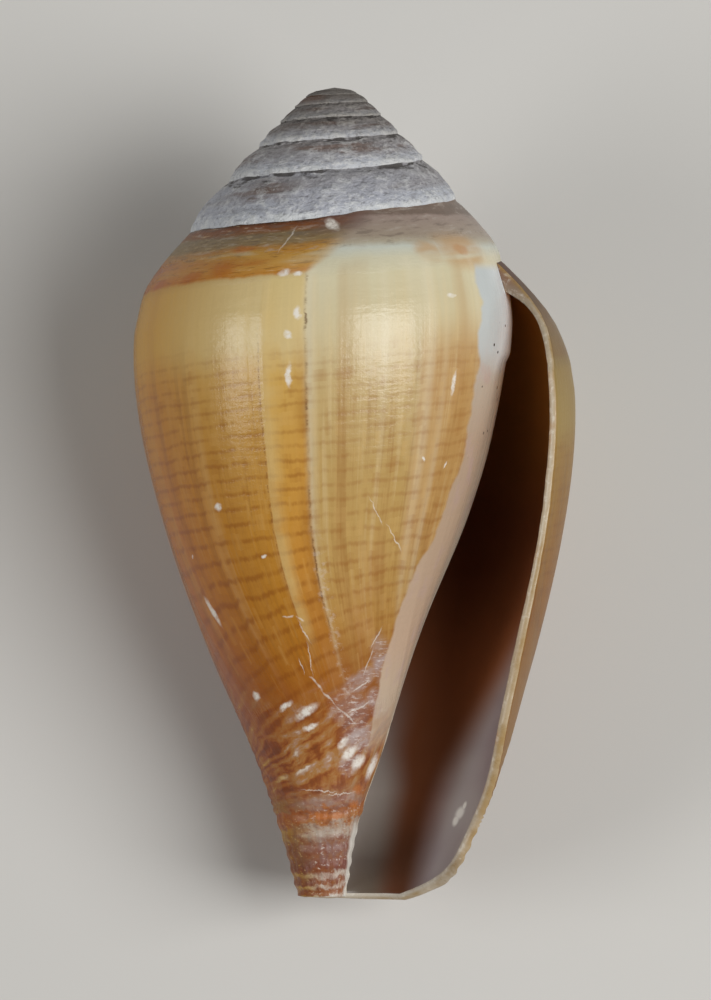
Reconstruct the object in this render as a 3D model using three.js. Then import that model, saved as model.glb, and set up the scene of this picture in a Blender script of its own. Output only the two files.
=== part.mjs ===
// A cone shell, lying on its back with the aperture up and the spire towards +Y.
//
// The shell is one piece: a wall that winds round a central column, from the blunt apex to the
// free edge of the outer lip. Growth is counted in turns round the column. It is 0 where the
// last whorl passes the right-hand side (+X) and rises towards the lip, so one turn earlier
// is growth - 1. A point of the wall is given by its growth and its share of the way down:
// 0 at the suture, 1 where a next whorl would be laid on, 2 at the base.
import * as THREE from "three";

// Driving dimensions, in millimetres, degrees, turns and shares of the way down.
const LENGTH = 38; // from the apex to the siphonal end
const COLUMN_LENGTH = 37.7; // from the apex to the end of the central column
const SUTURE_RADIUS = 7.75; // of the suture where the last whorl passes +X
const WHORL_GROWTH = 1.38; // how much wider the suture gets in one turn
const SPIRE_TURNS = 7; // whorls that are wound out above the lip
const SPIRE_SLOPE = 1.08; // fall of the spire's side for each millimetre outwards
const APEX_ROUNDING = 1.4; // how far the worn apex is below a sharp cone
const SPIRE_CURVE = 0.0021; // how the spire's side steepens towards the shoulder, per mm squared

// Outer radius of the whorl at shares of the way from its suture to the base, at three stages
// of growth: where the last turn leaves the aperture, on the left-hand side, and at the lip.
const STAGES = [-1, -0.5, 0];
const PROFILE_SHARES = [0, 0.05, 0.1, 0.18, 0.3, 0.45, 0.62, 0.8, 0.9, 1];
const PROFILE_RADII = [
  [5.62, 7.17, 7.84, 8.22, 7.66, 6.26, 4.01, 2.15, 1.07, 0.49],
  [6.6, 7.9, 8.88, 9.36, 9.05, 7.9, 6.01, 3.52, 2.44, 1.58],
  [7.75, 9.2, 10.3, 11.08, 11.1, 10.42, 9.15, 7.45, 6.2, 4.8],
];

const LIP_TURN = 0.045; // growth of the lip's edge at the suture
const LIP_SWELL = 0.018; // how far the edge runs ahead of that below the shoulder
const LIP_DRIFT = 0.024; // how far it falls back again on its way down
const LIP_CORNER = 0.15; // how far it falls back round the corner at the base
const CORNER_START = 1.92; // share where that corner starts
const CANAL_RIM = [-0.38, -0.16]; // growth over which the base runs out to the full length

const LIP_THICKNESS = 0.42;
const WALL_THICKNESS = 1.25;
const BASE_WALL_SHARE = 0.5; // of the wall's thickness that is left at the base
const WALL_GROWTH = 0.14; // turns behind the lip over which the wall reaches its thickness
const COLUMN_RADIUS = 0.9; // of the central column inside the siphonal canal
const COLUMN_TURNS = 0.25; // turns inside the canal over which the column reaches that radius
const CHAMBER_END = -0.84; // growth where the hollow ends under the shoulder
const CANAL_END = -0.42; // and at the base
const CHAMBER_TOP = 1.045; // share where the hollow's roof is
const ROOF_ROUNDING = 0.025; // share over which the hollow opens below its roof
const END_ROUNDING = 0.25; // part of the hollow's length over which it closes at its end
const LEAST_GAP = 0.4; // part of the room between two whorls that stays hollow

const REST_TILT = 9; // the spire end is this much higher when the shell lies on its back
const REST_FLAT = 0.2; // depth of the worn flat that it lies on

// Faces per turn and down the wall.
const COLUMNS = 56;
const CHAMBER_COLUMNS = 40;
const RAMP_SHARES = [0, 0.2, 0.55, 1];
const BODY_ROWS = 23;
const ROW_CROWDING = 0.08; // how much closer the rows are at the shoulder and the base

const { lerp, smoothstep, clamp, degToRad } = THREE.MathUtils;

// Smooth curve through values at rising shares, with the mean slope of the neighbours at each.
function smoothCurve(shares, values, share) {
  const last = shares.length - 1;
  const slope = (i) => {
    const before = Math.max(i - 1, 0);
    const after = Math.min(i + 1, last);
    return (values[after] - values[before]) / (shares[after] - shares[before]);
  };
  const next = shares.findIndex((s, i) => i > 0 && (s > share || i === last));
  const width = shares[next] - shares[next - 1];
  const rise = values[next] - values[next - 1];
  const u = (share - shares[next - 1]) / width;
  const leave = slope(next - 1) * width - rise;
  const arrive = rise - slope(next) * width;
  return values[next - 1] + rise * u + u * (1 - u) * (leave * (1 - u) + arrive * u);
}

const sutureRadius = (growth) => SUTURE_RADIUS * WHORL_GROWTH ** growth;

// Distance of the suture below the apex: a rounded cone whose side steepens outwards.
function sutureDepth(growth) {
  const radius = sutureRadius(growth);
  const cone = Math.hypot(APEX_ROUNDING, SPIRE_SLOPE * radius) - APEX_ROUNDING;
  return cone + SPIRE_CURVE * radius ** 3;
}

const baseDepth = (growth) => lerp(COLUMN_LENGTH, LENGTH, smoothstep(growth, ...CANAL_RIM));

function depthAt(growth, share) {
  const laidOn = sutureDepth(growth + 1);
  return share < 1
    ? lerp(sutureDepth(growth), laidOn, share)
    : lerp(laidOn, baseDepth(growth), share - 1);
}

// Outer radius of the last whorl at a depth: the three stages, blended by a parabola in growth.
function whorlRadius(growth, depth) {
  const top = sutureDepth(growth);
  const share = clamp((depth - top) / (baseDepth(growth) - top), 0, 1);
  return STAGES.reduce((sum, stage, i) => {
    const weight = STAGES.filter((s) => s !== stage)
      .map((s) => (growth - s) / (stage - s))
      .reduce((product, factor) => product * factor);
    return sum + weight * smoothCurve(PROFILE_SHARES, PROFILE_RADII[i], share);
  }, 0);
}

// The outside of the wall. Whorls before the last turn repeat its first profile at a smaller
// radius, and inside the canal they thicken into the central column.
function outside(growth, share) {
  const depth = depthAt(growth, share);
  if (growth >= -1) return { growth, depth, radius: whorlRadius(growth, depth) };
  const small = WHORL_GROWTH ** (growth + 1) * whorlRadius(-1, depthAt(-1, share));
  const column = share > 1 ? COLUMN_RADIUS * smoothstep(-1 - growth, 0, COLUMN_TURNS) : 0;
  return { growth, depth, radius: Math.hypot(small, column) };
}

// Growth of the lip's edge at a share of the way down.
function lipTurn(share) {
  const swell = LIP_SWELL * smoothstep(share, 0.5, 1.2);
  const drift = LIP_DRIFT * smoothstep(share, 1.45, 1.95);
  const corner = LIP_CORNER * Math.max((share - CORNER_START) / (2 - CORNER_START), 0) ** 2;
  return LIP_TURN + swell - drift - corner;
}

// Growth of a line across the wall, a share of a turn behind the lip. The lines are parallel to
// the lip's edge near it and upright one turn back.
const growthLine = (share, back) => lerp(lipTurn(share), LIP_TURN, Math.min(back, 1)) - back;

// Growth where the hollow ends: far back under the shoulder, less far down the canal.
const blindEnd = (share) => lerp(CHAMBER_END, CANAL_END, smoothstep(share, 1.45, 2));

// The inside of the last whorl's wall, facing the whorl before it across the hollow. back is
// the share of the way from the lip to the hollow's blind end.
function inside(share, back) {
  const growth = lerp(lipTurn(share), blindEnd(share), back);
  const before = outside(growth - 1, share);
  const room = whorlRadius(growth, before.depth) - before.radius;
  const behindLip = smoothstep(lipTurn(share) - growth, 0, WALL_GROWTH);
  const fullWall = WALL_THICKNESS * lerp(1, BASE_WALL_SHARE, smoothstep(share, 1.8, 2));
  const gap = Math.max(room - lerp(LIP_THICKNESS, fullWall, behindLip), LEAST_GAP * room);
  const closing = Math.sqrt(1 - Math.max(1 - (1 - back) / END_ROUNDING, 0) ** 2);
  const roof = 1 - Math.exp((CHAMBER_TOP - share) / ROOF_ROUNDING);
  return { growth, depth: before.depth, radius: before.radius + gap * closing * roof };
}

// The mesh: one closed skin, whose grids share the vertices along their seams.
const positions = [];
const faces = [];

function addPoint({ growth, depth, radius }) {
  const angle = 2 * Math.PI * growth;
  positions.push(radius * Math.cos(angle), -depth, radius * Math.sin(angle));
  return positions.length / 3 - 1;
}

// Two triangles for each cell of a grid of vertex columns, each column running downwards. The
// grid faces away from the central column, or towards it.
function addGrid(columns, towardsColumn = false) {
  for (let n = 0; n + 1 < columns.length; n++) {
    for (let j = 0; j + 1 < columns[n].length; j++) {
      const [a, b] = [columns[n][j], columns[n][j + 1]];
      const [c, d] = [columns[n + 1][j + 1], columns[n + 1][j]];
      if (towardsColumn) faces.push([a, d, b], [b, d, c]);
      else faces.push([a, b, d], [b, c, d]);
    }
  }
}

function distance(a, b) {
  if (a === undefined || b === undefined) return Infinity;
  const [from, to] = [a, b].map((i) => new THREE.Vector3().fromArray(positions, 3 * i));
  return from.distanceTo(to);
}

// A strip of triangles between two lines of vertices that run the same way, taking the shorter
// step across each time.
function addStrip(outer, inner) {
  let [i, k] = [0, 0];
  while (i + 1 < outer.length || k + 1 < inner.length) {
    if (distance(outer[i + 1], inner[k]) < distance(outer[i], inner[k + 1])) {
      faces.push([outer[i], inner[k], outer[i + 1]]);
      i++;
    } else {
      faces.push([outer[i], inner[k], inner[k + 1]]);
      k++;
    }
  }
}

function addFan(loop, centre) {
  loop.forEach((vertex, i) => faces.push([vertex, centre, loop[(i + 1) % loop.length]]));
}

// The ramps of the whorls, each laid against the whorl before it, from the apex to the lip.
const ramp = [];
for (let n = SPIRE_TURNS * COLUMNS; n >= 0; n--) {
  const before = ramp[n + COLUMNS];
  ramp[n] = RAMP_SHARES.map((share, j) =>
    j === 0 && before
      ? before.at(-1)
      : addPoint(outside(growthLine(share, n / COLUMNS), share)),
  );
}
addGrid(ramp);

// The last whorl from its shoulder to the base.
const hollowShares = Array.from({ length: BODY_ROWS }, (_, j) => {
  const u = j / (BODY_ROWS - 1);
  return lerp(CHAMBER_TOP, 2, u - ROW_CROWDING * Math.sin(2 * Math.PI * u));
});
const body = [];
for (let n = 0; n <= COLUMNS; n++) {
  const below = hollowShares.map((share) =>
    addPoint(outside(growthLine(share, n / COLUMNS), share)),
  );
  body[n] = [ramp[n].at(-1), ...below];
}
addGrid(body);

// The hollow: the whorl before the last, and the inside of the last whorl's wall facing it.
// The two meet along the roof and at the blind end.
const wallBefore = [body[COLUMNS].slice(1)];
for (let n = 1; n <= CHAMBER_COLUMNS; n++) {
  wallBefore[n] = hollowShares.map((share) =>
    addPoint(outside(lerp(LIP_TURN, blindEnd(share), n / CHAMBER_COLUMNS) - 1, share)),
  );
}
addGrid(wallBefore);
const wallInside = wallBefore.map((column, n) =>
  column.map((vertex, j) =>
    j === 0 || n === CHAMBER_COLUMNS
      ? vertex
      : addPoint(inside(hollowShares[j], n / CHAMBER_COLUMNS)),
  ),
);
addGrid(wallInside, true);

// The lip's edge, from the suture down to the base.
addStrip([...ramp[0], ...body[0].slice(1)], wallInside[0]);

// The base: the rim of the siphonal canal, and the end of the central column.
const rim = body.map((column) => column.at(-1));
const canalShare = (lipTurn(2) - CANAL_END) / (lipTurn(2) - LIP_TURN + 1);
const canalColumns = Math.round(canalShare * COLUMNS);
addStrip(
  rim.slice(0, canalColumns + 1),
  wallInside.map((column) => column.at(-1)),
);
const columnEnd = [
  ...rim.slice(canalColumns),
  ...wallBefore.slice(1).map((column) => column.at(-1)),
];
addFan(columnEnd, addPoint({ growth: 0, depth: COLUMN_LENGTH, radius: 0 }));

// The worn apex, over the first whorl.
const firstWhorl = ramp.slice(-COLUMNS - 1).map((column) => column[0]);
const apexLoop = [...firstWhorl, ...ramp.at(-1).slice(1, -1)].reverse();
addFan(apexLoop, addPoint({ growth: 0, depth: 0, radius: 0 }));

// Laid on its back: tilted, lowered until the flat is cut, and centred over the origin.
const geometry = new THREE.BufferGeometry();
geometry.setAttribute("position", new THREE.Float32BufferAttribute(positions, 3));
geometry.setIndex(faces.flat());
geometry.rotateX(degToRad(REST_TILT));
geometry.computeBoundingBox();
geometry.translate(0, 0, -geometry.boundingBox.min.z - REST_FLAT);
const points = geometry.getAttribute("position");
for (let i = 0; i < points.count; i++) points.setZ(i, Math.max(points.getZ(i), 0));
geometry.computeBoundingBox();
const middle = geometry.boundingBox.getCenter(new THREE.Vector3());
geometry.translate(-middle.x, -middle.y, 0);
geometry.computeVertexNormals();

const nacre = new THREE.MeshStandardMaterial({ color: "#c08a45", roughness: 0.35, metalness: 0 });
const shell = new THREE.Mesh(geometry, nacre);
shell.name = "shell";

const coneShell = new THREE.Group();
coneShell.add(shell);

export default coneShell;
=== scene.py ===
import bpy
import numpy as np
from mathutils import Color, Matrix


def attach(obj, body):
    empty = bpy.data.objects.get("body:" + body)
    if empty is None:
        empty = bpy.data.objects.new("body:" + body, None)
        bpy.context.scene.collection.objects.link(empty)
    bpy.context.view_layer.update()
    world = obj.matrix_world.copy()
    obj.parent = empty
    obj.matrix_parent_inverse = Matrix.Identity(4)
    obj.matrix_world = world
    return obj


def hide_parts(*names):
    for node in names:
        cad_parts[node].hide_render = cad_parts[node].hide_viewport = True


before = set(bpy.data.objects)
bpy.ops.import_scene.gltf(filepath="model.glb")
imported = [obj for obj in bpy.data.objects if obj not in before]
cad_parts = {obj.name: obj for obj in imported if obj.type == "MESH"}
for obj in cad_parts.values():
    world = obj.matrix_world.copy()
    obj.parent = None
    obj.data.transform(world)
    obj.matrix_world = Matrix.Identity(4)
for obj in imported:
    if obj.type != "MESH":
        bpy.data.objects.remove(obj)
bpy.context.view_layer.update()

# The winding. The shell is one wall of aragonite, laid down at the lip round a central column.
# A place on it has a growth, in turns (0 on the +X side, rising to the lip), and a share of the
# way down (0 at the suture, 1 where a next whorl would be laid on, 2 at the base).

SHELL_LENGTH = 38.0
COLUMN_LENGTH = 37.7
SUTURE_RADIUS = 7.75  # at growth 0
WHORL_GROWTH = 1.38  # the factor from one turn to the next
SPIRE_SLOPE = 1.08
SPIRE_CURVE = 0.0021
APEX_ROUNDING = 1.4
COLUMN_RADIUS = 0.9
COLUMN_TURNS = 0.25
CANAL_RIM = (-0.38, -0.16)
STAGES = (-1.0, -0.5, 0.0)  # growths at which the last whorl's profile was measured
PROFILE_SHARES = np.array([0, 0.05, 0.1, 0.18, 0.3, 0.45, 0.62, 0.8, 0.9, 1])
PROFILE_RADII = np.array([
    [5.62, 7.17, 7.84, 8.22, 7.66, 6.26, 4.01, 2.15, 1.07, 0.49],
    [6.6, 7.9, 8.88, 9.36, 9.05, 7.9, 6.01, 3.52, 2.44, 1.58],
    [7.75, 9.2, 10.3, 11.08, 11.1, 10.42, 9.15, 7.45, 6.2, 4.8],
])
LIP_TURN = 0.045
LIP_SWELL = 0.035
SWELL_SHARES = (0.1, 1.35)
LIP_DRIFT = 0.045
DRIFT_SHARES = (1.6, 1.98)
LIP_CORNER = 0.13
CORNER_START = 1.92
LIP_RAGGED = 0.0012  # turns that the broken edge wanders to and fro
RAGGED_SHARES = (0.7, 1.1)

COLUMNS = 280  # vertex columns in one turn
LUMP_GRID = 128


def lerp(start, end, part):
    """The value that lies a part of the way from start to end."""
    return start + (end - start) * part


def eased(value, start, end):
    """0 before start, 1 after end, and between them 3u squared less 2u cubed."""
    part = np.clip((value - start) / (end - start), 0, 1)
    return part * part * (3 - 2 * part)


def lumps(across, down, seed):
    """Smooth lumps from -1 to 1: a seeded grid of heights, one at each whole number across
    and down, eased between the four nearest."""
    heights = np.random.default_rng(seed).uniform(-1, 1, (LUMP_GRID, LUMP_GRID))
    across, down = np.broadcast_arrays(across, down)
    left, top = np.floor(across).astype(int), np.floor(down).astype(int)
    u, v = eased(across - left, 0, 1), eased(down - top, 0, 1)
    left, right = left % LUMP_GRID, (left + 1) % LUMP_GRID
    top, bottom = top % LUMP_GRID, (top + 1) % LUMP_GRID
    upper = lerp(heights[left, top], heights[right, top], u)
    return lerp(upper, lerp(heights[left, bottom], heights[right, bottom], u), v)


def profile(radii, share):
    """Radius down a whorl: a cubic through the measured radii, whose slope at each is the
    mean slope to its neighbours."""
    last = len(PROFILE_SHARES) - 1
    before = np.maximum(np.arange(last + 1) - 1, 0)
    after = np.minimum(np.arange(last + 1) + 1, last)
    slope = (radii[after] - radii[before]) / (PROFILE_SHARES[after] - PROFILE_SHARES[before])
    i = np.clip(np.searchsorted(PROFILE_SHARES, share, side="right") - 1, 0, last - 1)
    width = PROFILE_SHARES[i + 1] - PROFILE_SHARES[i]
    rise = radii[i + 1] - radii[i]
    u = (share - PROFILE_SHARES[i]) / width
    leave, arrive = slope[i] * width - rise, rise - slope[i + 1] * width
    return radii[i] + rise * u + u * (1 - u) * (leave * (1 - u) + arrive * u)


def suture_depth(growth):
    """Depth of the suture below the apex: a rounded cone on the suture's radius, which grows
    by a fixed factor each turn, plus a cubed term that steepens it outwards."""
    radius = SUTURE_RADIUS * WHORL_GROWTH**growth
    cone = np.hypot(APEX_ROUNDING, SPIRE_SLOPE * radius) - APEX_ROUNDING
    return cone + SPIRE_CURVE * radius**3


def base_depth(growth):
    """Depth of the base, which eases from the column's end to the full length."""
    return lerp(COLUMN_LENGTH, SHELL_LENGTH, eased(growth, *CANAL_RIM))


def depth_at(growth, share):
    """Depth below the apex: straight from suture to next suture, then on to the base."""
    laid_on = suture_depth(growth + 1)
    ramp = lerp(suture_depth(growth), laid_on, share)
    return np.where(share < 1, ramp, lerp(laid_on, base_depth(growth), share - 1))


def whorl_radius(growth, depth):
    """Radius of the last whorl: its profiles at three stages, joined by the parabola in
    growth that passes through them."""
    top = suture_depth(growth)
    share = np.clip((depth - top) / (base_depth(growth) - top), 0, 1)
    a, b, c = (profile(radii, share) for radii in PROFILE_RADII)
    first, middle, last = STAGES
    return (
        a * (growth - middle) * (growth - last) / ((first - middle) * (first - last))
        + b * (growth - first) * (growth - last) / ((middle - first) * (middle - last))
        + c * (growth - first) * (growth - middle) / ((last - first) * (last - middle))
    )


def outside(growth, share):
    """Depth and radius of the wall's outer face. Before the last turn the first profile
    repeats, smaller, and inside the canal it thickens into the central column."""
    depth = depth_at(growth, share)
    early = WHORL_GROWTH ** (growth + 1) * whorl_radius(-1.0, depth_at(-1.0, share))
    column = np.where(share > 1, COLUMN_RADIUS * eased(-1 - growth, 0, COLUMN_TURNS), 0)
    return depth, np.where(growth >= -1, whorl_radius(growth, depth), np.hypot(early, column))


def lip_turn(share):
    """Growth of the lip's edge: it swells below the shoulder, drifts back, turns the corner
    at the base, and wanders a little all the way, as a broken edge does."""
    corner = np.maximum((share - CORNER_START) / (2 - CORNER_START), 0) ** 2
    ragged = lumps(share * 19, 0.0, seed=3) + 0.35 * lumps(share * 52, 0.0, seed=4)
    return (
        LIP_TURN
        + LIP_SWELL * eased(share, *SWELL_SHARES)
        - LIP_DRIFT * eased(share, *DRIFT_SHARES)
        - LIP_CORNER * corner
        + LIP_RAGGED * ragged * eased(share, *RAGGED_SHARES)
    )


def growth_line(share, back):
    """Growth of an old lip, a number of turns back: like the lip near it, upright later."""
    return lerp(lip_turn(share), LIP_TURN, np.minimum(back, 1)) - back


points = []  # places of the vertices, in millimetres round the shell's own axis
sheets = []  # each part of the wall: its faces, what its corners carry, and its finish


def add(places):
    """Notes down an array of points, and gives back their numbers in the same shape."""
    first = sum(len(p) for p in points)
    points.append(places.reshape(-1, 3))
    return first + np.arange(len(points[-1])).reshape(places.shape[:-1])


def lay(growth, depth, radius):
    """Notes down points at an angle of one full turn for each unit of growth."""
    angle = 2 * np.pi * growth
    return add(np.stack([radius * np.cos(angle), -depth, radius * np.sin(angle)], -1))


def cells(grid):
    """The four corners of every cell of a grid of columns, facing away from the axis."""
    around = [grid[:-1, :-1], grid[:-1, 1:], grid[1:, 1:], grid[1:, :-1]]
    return np.stack(around, 2).reshape((-1, 4) + grid.shape[2:])


def sheet(grid, growth, share, depth, finish, inwards=False):
    """Notes down a grid of faces, with the growth, share and depth of each corner."""
    chart = np.stack(np.broadcast_arrays(growth, share, depth), -1)
    corners, charted = cells(grid), cells(chart)
    if inwards:
        corners, charted = corners[:, ::-1], charted[:, ::-1]
    sheets.append((corners, charted, finish))


def cap(corners, spot, finish):
    """Notes down faces that all carry the growth, share and depth of one spot."""
    sheets.append((corners, np.broadcast_to(spot, corners.shape + (3,)), finish))


def fan(loop, middle):
    """Triangles from each side of a loop of points to the point in its middle."""
    return np.stack([loop, np.full_like(loop, middle), np.roll(loop, -1)], 1)


GLAZE, CHALK, LINING, EDGE = range(4)

# The spire. The old whorls show as ramps that lie against each other up to the blunt apex.
# Sea and sand have eaten their glaze: the surface is matt, lumpy, and chalk white along the
# lower edge of each whorl, just above the groove of the suture.

SPIRE_TURNS = 7
RAMP_SHARES = np.array([0, 0.03, 0.07, 0.13, 0.22, 0.34, 0.48, 0.62, 0.75, 0.85, 0.92, 0.97, 1])
SAGS = (  # how much lower a suture hangs, and the growths where it starts, is full, fades, ends
    (0.33, -1.02, -0.7, -0.35, 0),
    (0.2, -0.79, -0.71, -0.64, -0.5),
    (0.28, -2.02, -1.72, -1.35, -1.05),
    (0.14, -3.02, -2.7, -2.35, -2.05),
)
SAG_OUT = 0.45  # how far a sagging suture also moves out
LEDGE = 0.055  # height of the swollen edge above each suture
LEDGE_SHARE = 0.88
LEDGE_WIDTH = 0.11
GROOVE = 0.07
GROOVE_WIDTH = 0.07
EROSION = 0.055
WORN_TURNS = (0.93, 1.0)  # back from growth 0, where the glaze gives way to erosion
FULL_WEAR_RADIUS = 4
GLAZE_LUMPS = 0.02
SWELL_UP, SWELL_OUT = 0.6, 0.8  # the way that the ramp faces
APEX_BLUNT = 0.14  # how much fuller the worn top is than the cone
APEX_RADII = (0.1, 0.8, 1.3, 2.4)
GLAZED_TURNS = 1.12  # the glaze goes a little way under the lip's own suture


def plateau(value, start, full, fades, gone):
    """Eased up from 0 to 1 between start and full, and down again between fades and gone."""
    return eased(value, start, full) * (1 - eased(value, fades, gone))


def bell(value, middle, width):
    """1 in the middle, and less by e to the minus square of the distance in widths."""
    return np.exp(-(((value - middle) / width) ** 2))


back = np.arange(SPIRE_TURNS * COLUMNS + 1)[:, None] / COLUMNS
ramp_share = np.broadcast_to(RAMP_SHARES, (len(back), len(RAMP_SHARES)))
ramp_growth = growth_line(ramp_share, back)
ramp_depth, ramp_radius = outside(ramp_growth, ramp_share)
sag_above, sag_below = (
    sum(drop * plateau(growth, *along) for drop, *along in SAGS)
    for growth in (ramp_growth, ramp_growth + 1)
)
slide = lerp(sag_above, sag_below, ramp_share)
old = eased(-ramp_growth, *WORN_TURNS) * np.clip(ramp_radius / FULL_WEAR_RADIUS, 0.25, 1)
worn = (
    LEDGE * bell(ramp_share, LEDGE_SHARE, LEDGE_WIDTH) * (1 + lumps(ramp_growth * 34, 0.0, seed=14))
    - GROOVE * bell(ramp_share, 0, GROOVE_WIDTH) * (ramp_share > 0)
    + EROSION * lumps(ramp_growth * 46, ramp_share * 3.2, seed=11)
    + 0.6 * EROSION * lumps(ramp_growth * 110, ramp_share * 6.5, seed=12)
)
glossy = GLAZE_LUMPS * lumps(ramp_growth * 26, ramp_share * 2, seed=13)
swell = lerp(glossy, worn, old)
dome = plateau(ramp_radius, *APEX_RADII)
ramp_depth = ramp_depth + slide - SWELL_UP * swell - APEX_BLUNT * dome
ramp_radius = ramp_radius + SAG_OUT * slide + SWELL_OUT * swell

ramp = np.zeros(ramp_share.shape, int)
ramp[:, 1:] = lay(ramp_growth[:, 1:], ramp_depth[:, 1:], ramp_radius[:, 1:])
ramp[:-COLUMNS, 0] = ramp[COLUMNS:, -1]
first_turn = slice(len(back) - COLUMNS, None)
ramp[first_turn, 0] = lay(
    ramp_growth[first_turn, 0], ramp_depth[first_turn, 0], ramp_radius[first_turn, 0]
)
glazed = int(GLAZED_TURNS * COLUMNS)
newest, older = slice(0, glazed + 1), slice(glazed, None)
for part, finish in ((newest, GLAZE), (older, CHALK)):
    sheet(ramp[part], ramp_growth[part], ramp_share[part], ramp_depth[part], finish)

apex_loop = np.concatenate([ramp[-COLUMNS - 1 :, 0], ramp[-1, 1:-1]])[::-1]
apex = add(np.zeros((1, 3)))[0]
cap(fan(apex_loop, apex), (-SPIRE_TURNS, 0.3, 0.0), CHALK)


def paint(code):
    """A colour from its six hexadecimal digits, turned from screen values to light."""
    screen = Color([int(code[i : i + 2], 16) / 255 for i in (0, 2, 4)])
    return (*screen.from_srgb_to_scene_linear(), 1)


class Field:
    """A number, vector or colour that changes over the surface: an output of a shader node.
    What is worked out from a field is a field too, from new nodes in the same tree."""

    def __init__(self, socket):
        self.socket = socket

    def through(self, kind, *feeds, output=0, **settings):
        """An output of a new node."""
        return Field(node(self.socket.id_data, kind, *feeds, **settings).outputs[output])

    def sum(self, operation, *others):
        """This number and others put through one Math node."""
        return self.through("Math", self, *others, operation=operation)

    # plus, less, times and over, with a plain number or another field
    def __add__(self, other):
        return self.sum("ADD", other)

    def __sub__(self, other):
        return self.sum("SUBTRACT", other)

    def __rsub__(self, other):
        return self.through("Math", other, self, operation="SUBTRACT")

    def __mul__(self, other):
        return self.sum("MULTIPLY", other)

    def __rtruediv__(self, other):
        return self.through("Math", other, self, operation="DIVIDE")

    __radd__ = __add__

    def most(self, other):
        """The larger of the two."""
        return self.sum("MAXIMUM", other)

    def least(self, other):
        """The smaller of the two."""
        return self.sum("MINIMUM", other)

    def rise(self, start, end, low=0, high=1):
        """Goes smoothly from low to high while this goes from start to end."""
        settings = (self, start, end, low, high)
        return self.through("MapRange", *settings, interpolation_type="SMOOTHSTEP")

    def between(self, low, high, soft):
        """1 where this is between low and high, falling to 0 over a soft edge."""
        return self.rise(low - soft, low + soft) * self.rise(high - soft, high + soft, 1, 0)

    def stretched(self, scale, shift=(0, 0, 0)):
        """This vector drawn out by a scale on each axis, and shifted."""
        return self.through("VectorMath", self, scale, shift, operation="MULTIPLY_ADD")

    def mottle(self, scale, detail=2, roughness=0.5, shift=(0, 0, 0), output="Fac"):
        """Cloudy noise from 0 to 1, with one cloud to a unit of this vector when stretched."""
        at = self.stretched(scale, shift)
        return at.through("TexNoise", at, None, 1, detail, roughness, output=output)

    def grade(self, stops):
        """A run of colours along this number; the stops give the colour at each value."""
        low, high = min(stops), max(stops)
        share = self.through("MapRange", self, low, high)
        made = node(self.socket.id_data, "ValToRGB", share)
        steps = made.color_ramp.elements
        while len(steps) < len(stops):
            steps.new(0.5)
        for step, (at, code) in zip(steps, stops.items()):
            step.position, step.color = (at - low) / (high - low), paint(code)
        return Field(made.outputs[0])

    def coat(self, over, mask, mode="MIX"):
        """Lays another colour over this one where the mask says."""
        made = node(self.socket.id_data, "Mix", mask, data_type="RGBA", blend_type=mode)
        join(made.inputs[6], self)
        join(made.inputs[7], over)
        self.socket = made.outputs[2]

    def tones(self, mask, noise, *tones):
        """Lays tones of a noise over this colour in a mask; each tone is its colour, the
        noise where it starts and is full, and how strong it gets."""
        for code, start, full, strength in tones:
            self.coat(code, mask * noise.rise(start, full, 0, strength))


def join(socket, feed):
    """Links a field to a socket, or sets a plain value or a colour's digits on it."""
    if isinstance(feed, Field):
        socket.id_data.links.new(feed.socket, socket)
    elif feed is not None:
        socket.default_value = paint(feed) if isinstance(feed, str) else feed


def node(tree, kind, *feeds, **settings):
    """Adds a shader node with its settings, and joins the feeds to its sockets in order."""
    made = tree.nodes.new("ShaderNode" + kind)
    for name, value in settings.items():
        setattr(made, name, value)
    for socket, feed in zip(made.inputs, feeds):
        join(socket, feed)
    return made


def group(name, takes, gives, wiring):
    """A node group with named sockets. The wiring is a function from its tree and the fields
    that it takes to the fields that it gives."""
    tree = bpy.data.node_groups.new(name, "ShaderNodeTree")
    for side, sockets in (("INPUT", takes), ("OUTPUT", gives)):
        for label, kind in sockets.items():
            tree.interface.new_socket(label, in_out=side, socket_type="NodeSocket" + kind)
    taken = [Field(socket) for socket in tree.nodes.new("NodeGroupInput").outputs]
    given = tree.nodes.new("NodeGroupOutput").inputs
    for socket, field in zip(given, wiring(tree, *taken[: len(takes)])):
        join(socket, field)
    return tree


def use(tree, made, *feeds):
    """Places a node group in a tree and gives back its fields by name."""
    placed = node(tree, "Group", *feeds, node_tree=made)
    return {socket.name: Field(socket) for socket in placed.outputs}


def finish_of(name, ior):
    """A new material with its refraction: the material, its node tree and its shader."""
    made = bpy.data.materials.new(name)
    made.use_nodes = True
    shader = made.node_tree.nodes["Principled BSDF"]
    shader.inputs["IOR"].default_value = ior
    return made, made.node_tree, shader


def dress(shader, colour, roughness, height=None, strength=0.0, distance=0.0):
    """Feeds a shader its colour and roughness, and its normal from the height of fine bumps."""
    join(shader.inputs["Base Color"], colour)
    join(shader.inputs["Roughness"], roughness)
    if height is not None:
        bump = node(shader.id_data, "Bump", strength, distance)
        join(bump.inputs["Height"], height)
        join(shader.inputs["Normal"], Field(bump.outputs[0]))


FRONT = -0.75  # growth on the side that is up as the shell lies
LEAN = 0.035  # turns that an old lip has fallen back at one reach below the start
LEAN_START = 20.2
LEAN_REACH = 6.9
LEAN_MOST = 3.0  # times the lean


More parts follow.
